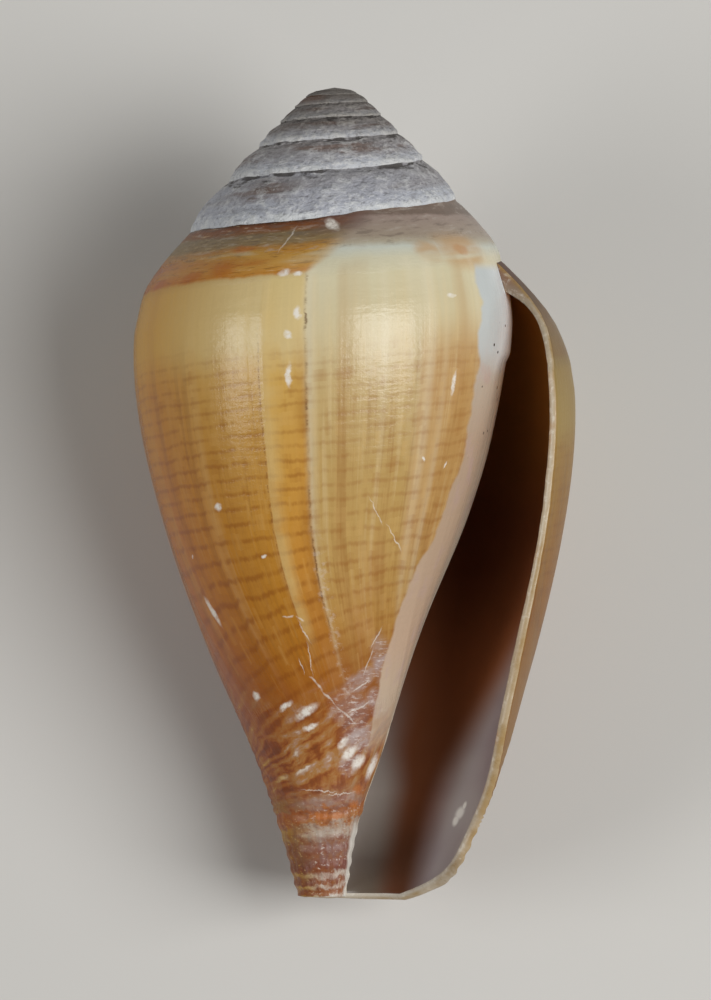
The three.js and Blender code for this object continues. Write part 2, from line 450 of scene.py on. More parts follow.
def wall_chart(tree):
    """Where a point is on the wall, read from the mesh: turn, growth along the lean of the
    old lips, which fall back as depth squared, share, depth, the run of the spiral lines,
    which climb round the whorl, and two vectors, with growth and with the turn itself."""
    place = Field(node(tree, "Attribute", attribute_name="wall_chart").outputs["Vector"])
    turn, share, depth = map(Field, node(tree, "SeparateXYZ", place).outputs)
    below = ((depth - LEAN_START) * (1 / LEAN_REACH)).most(0)
    growth = turn + (below * below).least(LEAN_MOST) * LEAN
    climb = share.rise(1.38, 1.7, 0.06, 0.47) * share.rise(1.73, 1.87, 1, 0.05)
    line = share - climb * (turn - FRONT)
    chart = place.through("CombineXYZ", growth, share, depth)
    return turn, growth, share, depth, line, chart, place


CHARTED = ("Turn", "Growth", "Share", "Depth", "Line", "Chart", "Place")
chart_kinds = dict(zip(CHARTED, ["Float"] * 5 + ["Vector"] * 2))
chart_group = group("wall chart", {}, chart_kinds, wall_chart)


def own_place(tree):
    """The place on the object, in metres."""
    return Field(node(tree, "TexCoord").outputs["Object"])


def chalk_wear(tree, size):
    """Lime laid bare in grains of a size in millimetres: bare where a noise on the object is
    high, with the noise itself as relief."""
    spot = own_place(tree)
    grain = spot.through("TexNoise", spot, None, 1000 / size, 4, 0.65)
    return grain.through("MapRange", grain, 0.53, 0.63), grain


chalk_gives = {"Mask": "Float", "Relief": "Float"}
chalk_group = group("chalk wear", {"Size": "Float"}, chalk_gives, chalk_wear)

chalk, tree, shader = finish_of("chalky spire", 1.5)
wall = use(tree, chart_group)
growth, share, depth, chart = (wall[name] for name in ("Growth", "Share", "Depth", "Chart"))
crust, grains, dust = (use(tree, chalk_group, size) for size in (1.1, 0.55, 0.24))
drift = chart.mottle((7, 2.6, 0))
bands = chart.mottle((5, 9, 0), 3, 0.55, (3, 1, 0))
flecks = chart.mottle((40, 8, 0), 3, 0.6, (2, 5, 0))

# grey at the top of each whorl and paler down it, lilac on the newer ones, with brown blotches
wavy = share + (flecks * 0.3 + (bands * 0.45 - 0.375))
skin = wavy.grade({0: "a3a09f", 0.3: "aba7a7", 0.6: "b3b2b5", 0.78: "c2c4c9", 1: "ced0d4"})
skin.coat("babac0", growth.rise(-2, -1.7) * drift.rise(0.36, 0.58, 0.3, 0.9))
blotched = growth.rise(-2.12, -2.02, 0.9, 0.12).most(growth.between(-1.69, -1.58, 0.04))
blotch = wavy.between(0.15, 0.52, 0.12) * (drift + flecks * 0.25).rise(0.7, 0.5) * blotched
skin.coat(bands.grade({0.35: "6f5b50", 0.65: "8c766a"}), blotch)
skin.coat("7d7672", flecks.rise(0.45, 0.33) * 0.35)
skin.coat("dddad6", flecks.rise(0.54, 0.68) * 0.35)

# lime laid bare along the lower edge and in grains, darker in the pits, and a painted shadow
# along the top of each whorl, in the suture under the ledge of the whorl above
ragged = share + bands * 0.4 + flecks * 0.7
skin.coat("dcdcd8", ragged.rise(1.26, 1.5) * crust["Relief"].rise(0.38, 0.6, 0.3, 1))
skin.coat("e8e7e2", grains["Mask"] * 0.35)
skin.coat("e2e1de", crust["Mask"] * 0.35)
skin.coat("eceae4", dust["Mask"] * wavy.rise(0.4, 0.9, 0.2, 0.6))
skin.coat("5c5450", dust["Relief"].rise(0.43, 0.33, 0, 0.38))
# painted shadow in the suture, under the ledge of the whorl above
skin.coat("3e3732", ragged.rise(0.7, 0.56) * crust["Relief"].rise(0.4, 0.55, 0.25, 0.9))

# the apex is duller, and brown on one side
tip = growth.between(-5.68, -5.36, 0.08).grade({0: "8f8880", 1: "8a5226"})
skin.coat(tip, depth.rise(1.1, 0.4) * 0.65)
skin.coat(depth.grade({1.6: "b8b4b0", 2.6: "e6e6e8", 6: "eef1f6"}), 1, "MULTIPLY")
rough = crust["Relief"] * 1.6 + grains["Relief"] + flecks * 0.9 + dust["Relief"] * 0.8
dress(shader, skin, grains["Relief"].rise(0.3, 0.7, 0.55, 0.85), rough, 0.9, 1e-4)

# The last whorl. Its outside still has its glaze, cream under the shoulder and ochre to
# brown below, with thin brown spiral lines, streaks along the old lips, one healed growth
# scar with a golden band beside it, and spiral cords at the base.

HOLLOW_SHARES = np.concatenate([
    np.linspace(1.045, 1.1, 9)[:-1], np.linspace(1.1, 1.83, 88)[:-1], np.linspace(1.83, 2, 45),
])
SCAR = -0.7265  # growth where the animal mended a broken lip
SCAR_DEPTH = 0.05
SCAR_WIDTH = 0.0028
STRIPE = -0.69  # growth where a pale thickened line follows it
STRIPE_HEIGHT = 0.035
STRIPE_WIDTH = 0.0035
FINE_RIDGES = 0.014
BROAD_RIDGES = 0.02
CORD_HEIGHT = 0.05
CORD_PITCH = 0.026  # in shares
CORD_CLIMBS = (0.47, 0.024)  # shares in a turn, above the base and on it
CORD_WAVER = 0.006
PAD_HEIGHT = 0.08  # of the callus beside the aperture
PAD_DEPTHS = (8.3, 9, 12.4, 12.9)
PAD_GROWTHS = (0.895, 0.92, 1.03, 1.1)  # back from growth 0
DENT_HEIGHT = 0.13  # the step down from the pad
DENT_DEPTHS = (12.4, 12.9, 13.4, 18)
DENT_GROWTHS = (0.93, 0.98, 1.03, 1.1)


def relief(growth, share, depth):
    """Height of the outside's own relief: along the lean of the old lips, growth ridges, the
    scar's groove and the stripe's ridge; across it, the base's cords; and the pad of callus
    by the aperture with the step below it."""
    below = np.maximum((depth - LEAN_START) / LEAN_REACH, 0)
    line = growth + LEAN * np.minimum(below**2, LEAN_MOST)
    ridges = FINE_RIDGES * lumps(line * 72, depth * 0.12, seed=21)
    ridges = ridges + BROAD_RIDGES * lumps(line * 17, depth * 0.2, seed=22)
    groove = bell(line, SCAR, SCAR_WIDTH) * eased(-share, -1.68, -1.55)
    stripe = bell(line, STRIPE, STRIPE_WIDTH) * eased(-share, -1.6, -1.5)
    climb = lerp(*CORD_CLIMBS, eased(share, 1.73, 1.87))
    run = share - climb * (growth - FRONT) + CORD_WAVER * lumps(growth * 9, share * 30, seed=24)
    broken = lerp(0.35, 1, 0.5 + 0.5 * lumps(growth * 7, run / CORD_PITCH, seed=25))
    cords = np.cos(2 * np.pi * run / CORD_PITCH) * broken * eased(share, 1.62, 1.86)
    cords = cords + 0.6 * lumps(growth * 40, share * 60, seed=23) * eased(share, 1.7, 1.85)
    pad = plateau(-growth, *PAD_GROWTHS) * plateau(depth, *PAD_DEPTHS)
    dent = plateau(-growth, *DENT_GROWTHS) * plateau(depth, *DENT_DEPTHS)
    return (
        ridges - SCAR_DEPTH * groove + STRIPE_HEIGHT * stripe
        + CORD_HEIGHT * cords + PAD_HEIGHT * pad - DENT_HEIGHT * dent
    )


body_share = np.broadcast_to(HOLLOW_SHARES, (COLUMNS + 1, len(HOLLOW_SHARES)))
body_growth = growth_line(body_share, back[: COLUMNS + 1])
body_depth, body_radius = outside(body_growth, body_share)
body_radius = body_radius + relief(body_growth, body_share, body_depth)
body = np.column_stack([ramp[: COLUMNS + 1, -1], lay(body_growth, body_depth, body_radius)])
shoulder = [a[: COLUMNS + 1, -1:] for a in (ramp_growth, ramp_share, ramp_depth)]
body_chart = [np.hstack(pair) for pair in zip(shoulder, (body_growth, body_share, body_depth))]
sheet(body, *body_chart, GLAZE)


def worn_mark(tree, place, centre, along, across):
    """A mark on the wall: full in the middle of an ellipse and gone at its edge."""
    off = place.through("VectorMath", place, centre, operation="SUBTRACT")
    dot = {"operation": "DOT_PRODUCT", "output": "Value"}
    sides = [off.through("VectorMath", off, side, **dot) for side in (along, across)]
    flat = off.through("CombineXYZ", *sides)
    return (flat.through("VectorMath", flat, operation="LENGTH", output="Value").rise(1.2, 0.4),)


mark_takes = dict.fromkeys(("Place", "Centre", "Along", "Across"), "Vector")
mark_group = group("worn mark", mark_takes, {"Mask": "Float"}, worn_mark)


def marks(place, rows):
    """The strongest of many marks. A row gives a mark's growth, depth, length, width and
    slant in degrees, up to the right as seen with the spire on top."""
    total = 0.0
    for growth, depth, length, width, slant in rows:
        reach = 2 * np.pi * float(whorl_radius(growth, depth))
        c, s = np.cos(np.radians(slant)), np.sin(np.radians(slant))
        along = np.array([-reach * c, 0, -s]) * 2 / length
        across = np.array([reach * s, 0, -c]) * 2 / width
        feeds = (place, (growth, 0, depth), tuple(along), tuple(across))
        total = use(place.socket.id_data, mark_group, *feeds)["Mask"].most(total)
    return total


def callus_cover(tree):
    """Callus, the enamel that the animal spread over the old whorl beside the aperture and on
    into the hollow. It lies behind a wandering border, is white under the shoulder and pinkish
    beige below, is brighter at its rim, with a painted highlight on the rim below the shoulder
    where it turns from the light, and has a few dark specks."""
    wall = use(tree, chart_group)
    turn, depth, place = wall["Turn"], wall["Depth"], wall["Place"]
    wander = place.mottle((9, 0, 0.45), 4)
    border = depth.rise(17.5, 25.5, -0.898, -0.852) + (wander * 0.036 - 0.018)
    spread = (turn - border).rise(0.003, -0.003) * depth.rise(8.2, 8.7)
    spread *= (depth + wander * 3).rise(33, 29.5)
    enamel = depth.grade({
        8: "c0c6c5", 12.4: "c2c6c4", 13.9: "bfb2a0", 16.5: "bba58e", 20: "bfa68c",
        26: "c6aa90", 29: "c8b49c", 34: "cfc8ba", 36: "d8d4cc",
    })
    # painted highlight: lifts the rim below the shoulder, where it turns away from the light
    rim_light = turn.rise(-0.925, -0.97) * depth.rise(12.6, 13.6)
    enamel.coat("e8dcc4", rim_light * 0.85)
    bright = turn.rise(-0.91, -0.97) * depth.rise(13.6, 12.7)
    enamel.coat("e8edee", bright)
    veil = place.mottle((30, 0, 0.5), 3, 0.6, (4, 0, 2))
    enamel.coat("c0a69c", veil.rise(0.5, 0.7) * depth.rise(12, 13.5, 0.1, 0.6))
    dots = enamel.through("TexVoronoi", own_place(tree), None, 1300, output="Distance")
    enamel.coat("2c2622", dots.rise(0.13, 0.07) * depth.rise(18, 15))
    return spread, enamel


callus_group = group("callus", {}, {"Mask": "Float", "Colour": "Color"}, callus_cover)

glaze, tree, shader = finish_of("banded glaze", 1.41)
wall = use(tree, chart_group)
turn, growth, share, _, line, chart, place = (wall[name] for name in CHARTED)
callus = use(tree, callus_group)
broad = chart.mottle((52, 1.6, 0))
fine = chart.mottle((210, 3, 0), 2, 0.6, (7, 3, 1))
streak = broad * 0.6 + fine * 0.4
combed = broad * 0.4 + fine * 0.6
wobble = chart.mottle((9, 26, 0), 3, 0.6)
ripple = chart.mottle((30, 3, 0), 2, 0.55, (8, 2, 6))
wave = chart.mottle((26, 9, 0), shift=(5, 5, 5))
cloud = chart.mottle((11, 4, 0), shift=(3, 9, 2))
bent = growth + (wobble * 0.004 - 0.002)
level = share + (ripple * 0.06 - 0.03) + (streak * 0.08 - 0.04)

# the shell's colours down the whorl, after the scar and before it, with a painted shadow in the
# groove at the suture; on the ramp the scar leans back and blurs, and before it the ramp's
# colours reach lower round the whorl
leant = bent + (0.9 - share).most(0) * 0.055
blur = share.rise(0.95, 0.45, 0.004, 0.016)
newer = leant.rise(SCAR - blur, SCAR + blur)
# the stop at share 0 is a painted shadow in the groove of the suture
after = level.grade({
    0: "3c2410", 0.05: "7a4320", 0.15: "845428", 0.2: "837050", 0.36: "8f7750",
    0.42: "aa7c3c", 0.5: "bc8e40", 0.7: "c4954a", 0.86: "c08436", 0.915: "ceb580",
    1.02: "d7c08a", 1.1: "d6bf88", 1.15: "cca660", 1.25: "c4964a", 1.4: "be8632",
    1.54: "b47824", 1.66: "a05e1c", 1.76: "8c4c20", 1.86: "946444", 2: "9c785c",
})
tilted = (turn + 0.745).least(0) * share.rise(1, 0.85)
# its stop at share 0 is also a painted shadow in the groove of the suture
skin = (level + tilted).grade({
    0: "7a685b", 0.04: "a08d82", 0.36: "a39482", 0.45: "b3a994", 0.54: "cacdc0",
    0.72: "d2ccb0", 1: "d3caa8", 1.1: "cfbe94", 1.17: "c4aa76", 1.3: "bb9a5e",
    1.45: "bb9656", 1.55: "b48644", 1.63: "9c622a", 1.7: "96562c", 1.8: "8c5230",
    2: "9c7c64",
})
skin.coat(after, newer)
panel = bent.rise(-0.824, -0.834) * share.between(1.1, 1.46, 0.04)
skin.coat("bd9058", panel * 0.6)

# the ramp is clouded along the suture, and streaked after the scar
drawn = chart.mottle((34, 11, 0), 4, 0.65, (2, 6, 1))
dull = share.rise(0.62, 0.5)
skin.tones(dull, drawn, ("6e6054", 0.48, 0.34, 0.5), ("b9aea2", 0.54, 0.7, 0.5))
streaky = chart.mottle((60, 24, 0), 3, 0.6, (5, 1, 8))
upper = newer * share.rise(0.92, 0.84)
skin.tones(upper, streaky, ("5e3a1a", 0.46, 0.34, 0.4), ("dcc298", 0.56, 0.7, 0.4))

# flames of rust in the band above the shoulder, with paler gaps between them
flame = chart.mottle((13, 4.5, 0), 1.5, shift=(1, 0, 4))
band = level.between(0.42, 0.9, 0.03) * newer
rusty = band * share.rise(0.5, 0.8, 0.5, 1) * flame.rise(0.44, 0.7)
skin.coat("ae6220", rusty * 0.9)
gaps = band * share.rise(0.8, 0.6) * flame.rise(0.45, 0.28)
skin.coat("c4b694", gaps * 0.7)
sway = place.mottle((70, 0, 1.8), 3, 0.6, output="Color")
sway = sway.stretched((0.01, 0, 0.34), (-0.005, 0, -0.17))
warped = sway.stretched((1, 1, 1), place)
rust = marks(warped, [
    (-0.6445, 8.72, 1.7, 0.75, 5), (-0.659, 7.76, 1.6, 0.35, 5), (-0.61, 9, 1.6, 0.6, 8),
    (-0.56, 9.3, 1.6, 0.5, 8), (-0.887, 7.7, 1.2, 0.5, -5),
])
skin.coat("b4641c", rust * 0.55)
warm = marks(warped, [(-0.89, 7.8, 4.2, 1.9, -5), (-0.845, 7.9, 1.8, 1.2, 0)])
skin.coat("c09258", warm * cloud.rise(0.35, 0.6, 0.2, 0.65))
dusk = leant.between(-0.745, -0.69, 0.012) * share.rise(0.34, 0.2)
skin.coat("6a5048", dusk * 0.6)

# bands, streaks and clouds along the old lips
bands = chart.mottle((30, 0.5, 0), 1.5, shift=(6, 1, 3))
banded = share.between(0.8, 1.6, 0.12) * newer.rise(0, 1, 1, 0.35)
skin.tones(banded, bands, ("b48a50", 0.5, 0.68, 0.4), ("e2d8bc", 0.46, 0.3, 0.45))
streaks = streak.rise(0.5, 0.66) * share.rise(0.95, 1.1) * share.rise(1.62, 1.4, 0.35, 1)
skin.coat("e0cb9c", streaks * newer.rise(0, 1, 0.32, 0.2))
shades = streak.rise(0.48, 0.36) * share.rise(1.05, 1.2)
skin.coat("8c5a22", shades * 0.32)
clouds = cloud.rise(0.52, 0.72) * share.between(1.13, 1.6, 0.05)
clouds *= wobble.rise(0.4, 0.6, 0.15, 0.5) * newer.rise(0, 1, 1, 0.4)
skin.coat("b98a58", clouds)

# the golden band between the scar and the stripe
gold = bent.between(SCAR + 0.003, STRIPE - 0.004, 0.003) * share.between(0.95, 1.6, 0.04)
leaf = level.grade({
    1: "d6bf84", 1.1: "d8be84", 1.16: "d2a650", 1.3: "cc9434", 1.45: "c68420", 1.6: "ac6a1a",
})
skin.coat(leaf, gold * 0.75)

# soft brown spiral lines, a little wavy and broken, and a weave of dashes between them; the
# lines lie further apart towards the base
run = line - 1.2
count = run * (run * -18.3 + 47.0) + wave * 0.7 + combed * 0.55
gap = (count.sum("FRACT") - 0.5).sum("ABSOLUTE")
row = growth.through("CombineXYZ", growth, count.sum("FLOOR"))
weave = row.mottle((64, 3.7, 0), 3, 0.6)
patterned = share.between(1.115, 1.72, 0.03) * turn.rise(0, -0.1, 0.5, 1)
skin.tones(patterned, weave, ("985c1c", 0.5, 0.7, 0.24), ("d8b070", 0.48, 0.3, 0.2))
lines = gap.rise(0.23, 0.03) * weave.rise(0.35, 0.56, 0.15, 1) * patterned
lines *= share.rise(1.1, 1.35, 0.55, 1) * newer.rise(0, 1, 0.6, 1)
skin.coat("8c4e16", lines * share.rise(1.3, 1.55, 0.42, 0.56))

# the stripe is sharp on its newer side; the scar is a broken crack in a brown haze
ragged = place.mottle((60, 0, 3.4), 4, 0.65)
jagged = bent + (ragged * 0.006 - 0.003)
ridge = bent.rise(STRIPE - 0.018, STRIPE - 0.002) * bent.rise(STRIPE + 0.0036, STRIPE + 0.0022)
ridge *= share.between(1.02, 1.58, 0.06) * wobble.rise(0.35, 0.6, 0.55, 1)
skin.coat("d8ba7a", ridge * 0.55)
crack = bent.between(STRIPE + 0.0036, STRIPE + 0.0046, 0.0008) * share.between(1.1, 1.5, 0.05)
skin.coat("74481e", crack * ragged.rise(0.46, 0.56) * 0.55)
stain = bent.rise(SCAR - 0.003, SCAR + 0.001) * bent.rise(SCAR + 0.015, SCAR + 0.003)
stain *= share.between(1.12, 1.62, 0.06) * wave.rise(0.35, 0.6, 0.3, 0.9)
skin.coat("9a6422", stain * 0.55)
scar = jagged.between(SCAR - 0.0002, SCAR + 0.0016, 0.0012) * share.between(0.93, 1.56, 0.03)
scar *= ragged.rise(0.4, 0.58, 0.1, 1) * wave.rise(0.4, 0.6, 0.25, 1)
skin.coat("5e3a18", scar * 0.8)
mended = bent.between(SCAR - 0.009, SCAR - 0.004, 0.003) * share.between(0.95, 1.4, 0.1)
skin.coat("dcc696", mended * 0.3)

# the base: oblique rows of red-brown, orange, mauve and white flecks, then a few pale cords
# with red-brown between them
fleck = turn.through("CombineXYZ", turn, line + wobble * 0.05)
fleck = fleck.mottle((16, 32, 0), 4, 0.6)
ranks = (line * 48.0 + wobble * 1.6).sum("PINGPONG", 0.5)
spotted = ranks * 0.3 + (fleck * 1.1 - 0.13)
foot = spotted.grade({
    0.3: "78401e", 0.41: "8c4c22", 0.49: "a46a34", 0.57: "ac7e4a", 0.65: "b08e76", 0.74: "dacec0",
})
skin.coat(foot, level.rise(1.62, 1.76) * 0.88)
frayed = place.mottle((16, 0, 2.6), 3, 0.6, (2, 0, 7))
strand = line + (wobble * 0.02 - 0.01)
strand += (frayed - 0.5) * share.rise(1.86, 1.93, 0.075, 0.026)
girdle = strand.grade({
    1.8: "8c5430", 1.833: "957a70", 1.852: "96766a", 1.86: "a4643a", 1.875: "aa7242",
    1.885: "b0a090", 1.899: "a8988a", 1.908: "8a6a62", 1.936: "82594e", 1.947: "743e32",
    1.955: "784234", 1.961: "c2b5a8", 1.966: "b6a597", 1.97: "7c4630", 1.975: "824a32",
    1.98: "c6b9ab", 1.986: "8c5434", 1.993: "946040", 1.998: "d6cfc4",
})
skin.coat(girdle, share.rise(1.8, 1.86) * fleck.rise(0.36, 0.6, 0.4, 0.95))
crumbs = place.mottle((46, 0, 7.5), 4, 0.7, (3, 0, 1))
low = share.rise(1.8, 1.88)
skin.tones(low, crumbs, ("7a3628", 0.46, 0.34, 0.6), ("d6cac0", 0.56, 0.68, 0.75))
mauve = marks(warped, [
    (-0.79, 29, 2.4, 1.8, -40), (-0.84, 26.6, 1.2, 2.6, 20), (-0.87, 24.6, 0.7, 1.8, 20),
    (-0.82, 30.2, 1.6, 2, 60), (-0.86, 28.6, 1.3, 2, 60), (-0.8, 31.5, 1.2, 1.1, 20),
    (-0.8, 27.6, 2.2, 1, 35),
])
skin.coat("b09c98", mauve * fleck.rise(0.4, 0.6, 0.25, 0.8))
skin.coat("dccfc8", mauve * crumbs.rise(0.52, 0.64, 0, 0.7))
ember = marks(warped, [
    (-0.855, 32.66, 0.7, 0.5, 0), (-0.8555, 33.36, 0.8, 0.42, 0), (-0.697, 33.92, 1.1, 0.36, 0),
    (-0.76, 33.9, 0.8, 0.32, 10),
])
skin.coat("ba6c2c", ember * 0.6)

# the outer flank is multiplied darker and deeper in colour, a painted shade that also holds back
# the floor's pale reflection there; the strip along the lip is tan, and the oldest end of the
# glaze is worn grey; the callus lies over them all, and beside the canal the wall is white
outer = turn.rise(-0.69, -0.53) * turn.rise(-0.1, -0.25) * share.rise(0.3, 0.6)
# painted shade: the flank turned from the key light, multiplied darker and deeper in colour
skin.coat("ecc24a", outer, "MULTIPLY")
strip = turn.rise(-0.14, 0)
skin.coat("b6a87c", strip, "MULTIPLY")
fresh = level.grade({0.2: "685046", 0.8: "7c663c", 1.4: "86683a", 1.7: "9c7840"})
ends = share.rise(1.15, 0.85, 0, 0.75) + share.rise(1.4, 1.65, 0, 0.5)
skin.coat(fresh, strip * ends)
worn_back = turn.rise(-1, -1.06)
skin.coat("aaa6a4", worn_back)
skin.coat(callus["Colour"], callus["Mask"])
beside = turn.rise(-0.85, -0.9) * share.rise(1.87, 1.9)
skin.coat("d2cec4", beside * 0.85)

# single scuffs and scratches where the glaze is gone
white = marks(warped, [
    (-0.7195, 10.7, 0.65, 0.42, 80), (-0.7115, 13.54, 1.15, 0.32, 90), (-0.7115, 11.68, 0.4, 0.4, 0),
    (-0.7055, 8.88, 0.6, 0.35, 10), (-0.719, 8.93, 0.5, 0.25, 5), (-0.628, 19.56, 0.45, 0.45, 0),
    (-0.5705, 24.41, 1.5, 0.4, -68), (-0.597, 28.3, 0.5, 0.42, 20), (-0.5655, 21.89, 0.25, 0.18, 60),
    (-0.671, 21.8, 0.3, 0.18, 20), (-0.654, 28.74, 0.9, 0.3, 30), (-0.6925, 29.02, 1.4, 0.42, 33),
    (-0.697, 29.72, 0.85, 0.3, 25), (-0.7725, 30.45, 0.7, 0.34, 50), (-0.7945, 30.94, 0.95, 0.55, 45),
    (-0.831, 31.36, 0.85, 0.65, 45), (-0.9105, 31.64, 1.4, 0.68, 75), (-0.7475, 6.64, 0.9, 0.5, -30),
    (-0.8615, 9.86, 0.6, 0.2, 0), (-0.866, 13.87, 1.2, 0.3, 85), (-0.8425, 17.32, 0.35, 0.16, -50),
    (-0.8725, 17.6, 0.35, 0.14, 60),
])
scratch = marks(warped, [
    (-0.6875, 24.6, 0.5, 0.12, 10), (-0.7035, 24.69, 0.4, 0.12, -30), (-0.6995, 32.71, 1.8, 0.07, -4),
    (-0.78, 32.86, 1.7, 0.07, 4), (-0.795, 19.75, 1.5, 0.08, -58), (-0.821, 20.96, 1.7, 0.08, -52),
    (-0.703, 7.3, 1.4, 0.09, 65), (-0.707, 25.27, 1.2, 0.08, -65), (-0.7115, 26.58, 1.7, 0.07, -86),
    (-0.719, 27.69, 0.9, 0.12, -50), (-0.739, 28.34, 1, 0.11, -51), (-0.7785, 29.19, 1.6, 0.09, -41),
    (-0.8195, 25.6, 1.2, 0.08, 68), (-0.8115, 26.74, 1.4, 0.08, 76), (-0.6965, 26.86, 0.8, 0.06, -77),
    (-0.8055, 27.81, 1.1, 0.09, 31), (-0.8045, 28.84, 1.4, 0.1, 24),
])
white = white.most(scratch * 0.6)
worn = use(tree, chalk_group, 0.3)
skin.coat("ebe5da", white * worn["Relief"].rise(0.35, 0.55, 0.45, 0.92))
scuffed = bent.between(SCAR - 0.012, SCAR + 0.004, 0.004) * share.between(1.42, 1.7, 0.05)
skin.coat("d8c8b8", scuffed * worn["Mask"] * 0.3)

# the glaze is duller where it is worn, along the lip, on the ramp and at the base
matt = combed * 0.16 + 0.13 + (white + worn_back) * 0.25 + strip * 0.2
matt += share.rise(1.6, 1.8, 0, 0.16) + share.rise(0.6, 0.3, 0, 0.2)
thread = chart.mottle((26, 96, 0), 2, 0.6, (4, 7, 1))
height = combed + worn["Relief"] * 0.7 + thread * 0.6 - lines * 0.2
dress(shader, skin, matt, height, 0.5, 5e-5)

# The hollow. Between the last whorl's wall and the whorl before it is the narrow room where
# the animal lived. It is lined with smooth enamel, deep brown under the shoulder, and lilac
# to beige at the lip's side and down the canal.

LIP_THICKNESS = (0.36, 0.46)  # under the shoulder and further down
LIP_SHARES = (1.4, 1.65)
WALL_THICKNESS = 1.25
BASE_WALL_SHARE = 0.5
BASE_SHARES = (1.8, 2)
WALL_GROWTH = 0.14
CHAMBER_END = -0.84
CANAL_END = -0.42
CANAL_SHARES = (1.45, 2)
RELIEF_REACH = 0.12  # how far the outside's relief goes on into the hollow
ROOF_ROUNDING = 0.01
END_ROUNDING = 0.25
LEAST_GAP = 0.4
LIP_STEPS = 801

canal_part = (lip_turn(2.0) - CANAL_END) / (lip_turn(2.0) - LIP_TURN + 1)
CHAMBER_COLUMNS = int(round(float(canal_part) * COLUMNS))


def blind_end(share):
    """Growth where the hollow ends: far back under the shoulder, less far down the canal."""
    return lerp(CHAMBER_END, CANAL_END, eased(share, *CANAL_SHARES))


deep = np.arange(CHAMBER_COLUMNS + 1)[:, None] / CHAMBER_COLUMNS
room_share = np.broadcast_to(HOLLOW_SHARES, (CHAMBER_COLUMNS + 1, len(HOLLOW_SHARES)))
inner_growth = lerp(LIP_TURN, blind_end(room_share), deep) - 1
inner_depth, inner_radius = outside(inner_growth, room_share)
fading = 1 - eased(deep, 0, RELIEF_REACH)
inner_radius = inner_radius + fading * relief(inner_growth, room_share, inner_depth)
inner = np.vstack([
    body[COLUMNS : COLUMNS + 1, 1:], lay(inner_growth[1:], inner_depth[1:], inner_radius[1:])
])
sheet(inner, inner_growth, room_share, inner_depth, LINING)

# The wall's inside faces the whorl before it across a gap: the room between the two less the
# wall's thickness, closed by a quarter ellipse at the blind end and rounded under the roof.
lip_line = lip_turn(np.linspace(0, 2, LIP_STEPS))  # the lip's growth, to be read off by depth
lip_down = depth_at(lip_line, np.linspace(0, 2, LIP_STEPS))
beside_lip = np.interp(depth_at(LIP_TURN - 1, HOLLOW_SHARES), lip_down, lip_line)
beside_lip = lerp(beside_lip, lip_turn(HOLLOW_SHARES), eased(HOLLOW_SHARES, 1.8, 1.95))
room_growth = lerp(beside_lip, blind_end(room_share), deep)
room_depth, old_radius = outside(room_growth - 1, room_share)
room = whorl_radius(room_growth, room_depth) - old_radius
thick = eased(beside_lip - room_growth, 0, WALL_GROWTH)
full_wall = WALL_THICKNESS * lerp(1, BASE_WALL_SHARE, eased(room_share, *BASE_SHARES))
lip_wall = lerp(*LIP_THICKNESS, eased(room_share, *LIP_SHARES))
gap_width = np.maximum(room - lerp(lip_wall, full_wall, thick), LEAST_GAP * room)
closing = np.sqrt(1 - np.maximum(1 - (1 - deep) / END_ROUNDING, 0) ** 2)
roof = 1 - np.exp((HOLLOW_SHARES[0] - room_share) / ROOF_ROUNDING)
room_radius = old_radius + gap_width * closing * roof
chamber = inner.copy()
chamber[:-1, 1:] = lay(room_growth[:-1, 1:], room_depth[:-1, 1:], room_radius[:-1, 1:])
sheet(chamber, room_growth, room_share, room_depth, LINING, inwards=True)

lining, tree, shader = finish_of("brown lining", 1.55)
wall = use(tree, chart_group)
turn, depth, place = wall["Turn"], wall["Depth"], wall["Place"]
callus = use(tree, callus_group)
haze = place.mottle((9, 0, 0.25))

# brown, redder half way down, dark at the end of the canal, and a painted golden glow of light
# shining through the thin lip
skin = haze.grade({0.3: "824b2d", 0.7: "955a38"})
skin.coat("b06c44", depth.between(25, 29.5, 2.5) * 0.8)
skin.coat("5a3420", depth.rise(33, 36, 0, 0.8))
# painted glow: light shining through the thin lip, golden
skin.coat("f0a850", turn.rise(-0.3, 0.03) * depth.rise(21, 12))

# lilac along the lip, grey beside the column that darkens to the bottom as painted shade, a chip,
# and the callus on the facing wall
lip_side = turn - depth.rise(20, 34, 0.066, -0.046)
margin = lip_side.rise(-0.05, 0.025) * depth.rise(20.5, 25)
skin.coat(haze.grade({0.35: "9f9193", 0.65: "b1a7a4"}), margin)
column_side = turn - depth.rise(30.5, 33, -0.158, -0.137)
inmost = column_side.rise(0.03, -0.03) * depth.rise(26, 31)
# grey beside the column; the stops grow darker past depth 33 as painted shade at the bottom of the
# hollow
pale = depth.grade({30: "b2a49c", 33: "b0a49a", 34.8: "8c8076", 36.2: "64564c", 37.6: "625446"})
skin.coat(pale, inmost)
chip = marks(place, [
    (-0.013, 33.85, 0.7, 0.9, 80), (-0.017, 34.2, 0.62, 0.6, 30), (-0.008, 33.5, 0.4, 0.45, 0),
])
skin.coat("f2eee6", chip)
skin.coat(callus["Colour"], turn.rise(-1.05, -1) * turn.rise(-0.88, -0.92))
dress(shader, skin, haze.rise(0.3, 0.7, 0.3, 0.4))

# The edge. The free edge of the outer lip and of the siphonal canal shows the wall's own
# white lime in its thickness, rounded by wear and chipped. The central column ends beside it.

EDGE_LINES = 4
EDGE_ROUND = 0.55  # of half the wall's thickness
ROUND_MOST = 0.09
EDGE_CROWDING = 0.06  # how far the lines crowd towards the two rims
END_INSETS = (0.35, 0.7)
END_DOME = 0.12
END_TIP = 0.1
END_SPOT = (0.0, 2.0, 37.8)

places = np.concatenate(points)
lip_out, lip_in = np.concatenate([ramp[0], body[0, 1:]]), chamber[0]
